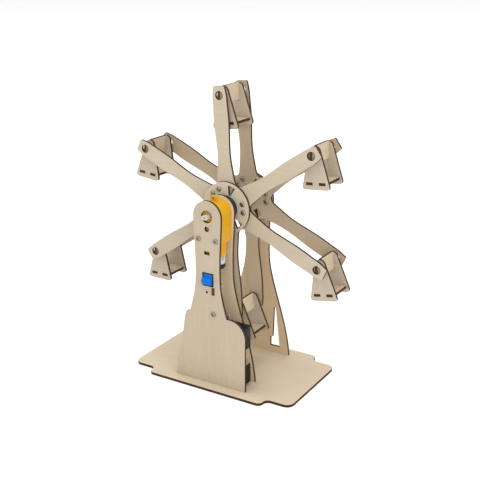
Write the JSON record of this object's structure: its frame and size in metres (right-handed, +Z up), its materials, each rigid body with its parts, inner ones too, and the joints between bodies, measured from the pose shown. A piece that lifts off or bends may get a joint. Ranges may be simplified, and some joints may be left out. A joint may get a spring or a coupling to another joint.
{
  "type": "ferris wheel toy",
  "caption": "Battery-driven plywood Ferris wheel toy: a spoked wheel with swinging open baskets between two towers on a flat base, turned by a small gear motor with a rocker switch.",
  "frame": {"origin": "middle of the base plate's underside, halfway between the outer faces of the front and rear towers", "axes": "+Z up, +Y from the motor side to the back, +X to the right seen from the motor side; the wheel turns about an axis along Y"},
  "size_m": [0.2065, 0.1074, 0.2616],
  "materials": {
    "plywood": "light laser-cut plywood with dark burnt edges",
    "gearbox_yellow": "yellow moulded plastic",
    "motor_steel": "bright drawn steel",
    "black_plastic": "black moulded plastic",
    "shaft_plastic": "off-white plastic",
    "screw_steel": "grey steel screws and nuts",
    "rocker_blue": "bright blue plastic",
    "hub_blue": "dark teal-blue plastic",
    "cell_wrap": "plain whitish cell wrap",
    "contact_steel": "nickel-plated contacts",
    "axle_steel": "plain steel rod"
  },
  "bodies": {
    "frame": {"base_plate": "plywood", "front_tower_outer": "plywood", "front_tower_inner": "plywood", "rear_tower": "plywood", "tower_brace": "plywood", "gearbox_front_shell": "gearbox_yellow", "gearbox_rear_shell": "gearbox_yellow", "motor_can": "motor_steel", "motor_end_cap": "black_plastic", "motor_screws": "screw_steel", "motor_nuts": "screw_steel", "brace_screw": "screw_steel", "brace_nut": "screw_steel", "switch_housing": "black_plastic", "battery_tray": "black_plastic", "battery_cells": "cell_wrap", "battery_contacts": "contact_steel", "rear_bush": "black_plastic"},
    "wheel": {"output_shaft": "shaft_plastic", "drive_hub": "hub_blue", "front_hub_disc": "plywood", "front_star": "plywood", "rear_star": "plywood", "rear_hub_disc": "plywood", "wheel_spacer": "black_plastic", "wheel_axle": "axle_steel", "axle_collar": "black_plastic", "axle_cap": "black_plastic", "hub_screws_front": "screw_steel", "hub_screws_rear": "screw_steel"},
    "rocker": {"switch_rocker": "rocker_blue"},
    "basket_1": {"basket_1_front_side": "plywood", "basket_1_rear_side": "plywood", "basket_1_seat": "plywood", "basket_1_hanger": "plywood"},
    "basket_2": {"basket_2_front_side": "plywood", "basket_2_rear_side": "plywood", "basket_2_seat": "plywood", "basket_2_hanger": "plywood"},
    "basket_3": {"basket_3_front_side": "plywood", "basket_3_rear_side": "plywood", "basket_3_seat": "plywood", "basket_3_hanger": "plywood"},
    "basket_4": {"basket_4_front_side": "plywood", "basket_4_rear_side": "plywood", "basket_4_seat": "plywood", "basket_4_hanger": "plywood"},
    "basket_5": {"basket_5_front_side": "plywood", "basket_5_rear_side": "plywood", "basket_5_seat": "plywood", "basket_5_hanger": "plywood"},
    "basket_6": {"basket_6_front_side": "plywood", "basket_6_rear_side": "plywood", "basket_6_seat": "plywood", "basket_6_hanger": "plywood"}
  },
  "joints": [
    {"name": "wheel_spin", "type": "hinge", "parent": "frame", "child": "wheel", "pos_m": [0, 0.00903, 0.1573], "axis": [0, 1, 0], "continuous": true},
    {"name": "rocker_tilt", "type": "hinge", "parent": "frame", "child": "rocker", "pos_m": [0.00055, -0.04222, 0.1011], "axis": [1, 0, 0], "range_deg": [0, 20]},
    {"name": "basket_1_swing", "type": "hinge", "parent": "wheel", "child": "basket_1", "pos_m": [0.07934, 0.00903, 0.21224], "axis": [0, 1, 0], "continuous": true},
    {"name": "basket_2_swing", "type": "hinge", "parent": "wheel", "child": "basket_2", "pos_m": [-0.00791, 0.00903, 0.25348], "axis": [0, 1, 0], "continuous": true},
    {"name": "basket_3_swing", "type": "hinge", "parent": "wheel", "child": "basket_3", "pos_m": [-0.08724, 0.00903, 0.19854], "axis": [0, 1, 0], "continuous": true},
    {"name": "basket_4_swing", "type": "hinge", "parent": "wheel", "child": "basket_4", "pos_m": [-0.07934, 0.00903, 0.10236], "axis": [0, 1, 0], "continuous": true},
    {"name": "basket_5_swing", "type": "hinge", "parent": "wheel", "child": "basket_5", "pos_m": [0.00791, 0.00903, 0.06112], "axis": [0, 1, 0], "continuous": true},
    {"name": "basket_6_swing", "type": "hinge", "parent": "wheel", "child": "basket_6", "pos_m": [0.08724, 0.00903, 0.11606], "axis": [0, 1, 0], "continuous": true}
  ]
}
